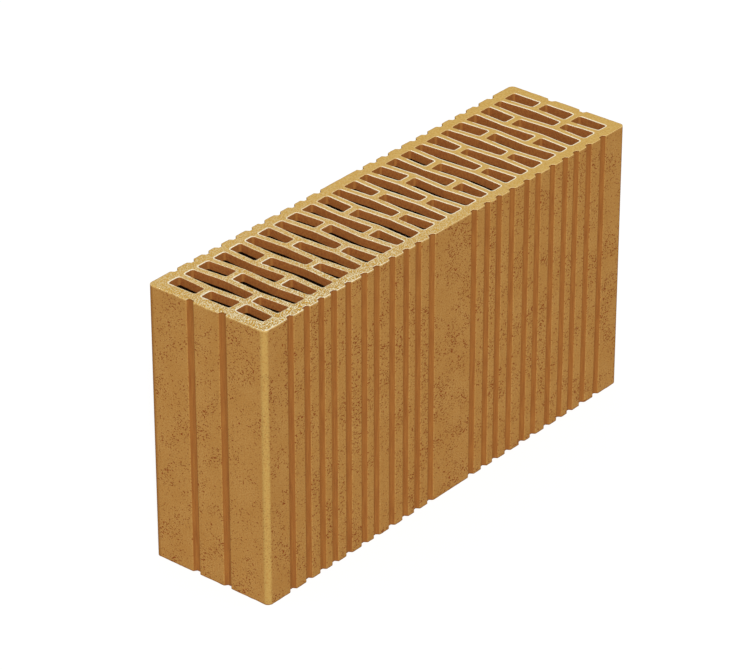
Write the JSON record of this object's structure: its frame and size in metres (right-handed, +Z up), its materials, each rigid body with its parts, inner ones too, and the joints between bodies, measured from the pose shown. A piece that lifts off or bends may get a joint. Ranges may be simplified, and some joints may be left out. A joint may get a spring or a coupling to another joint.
{
  "type": "hollow clay block",
  "caption": "Upright hollow building block of fired clay with staggered zigzag slots through its height and grooved faces for mortar and plaster.",
  "frame": {"origin": "middle of the bottom bed face", "axes": "+X along the block, +Y across its thickness, +Z up along the slots"},
  "size_m": [0.44, 0.115, 0.238],
  "materials": {
    "fired_clay": "matte, sandy, wire-cut bed faces"
  },
  "bodies": {
    "root": {"clay_block": "fired_clay"}
  },
  "joints": []
}
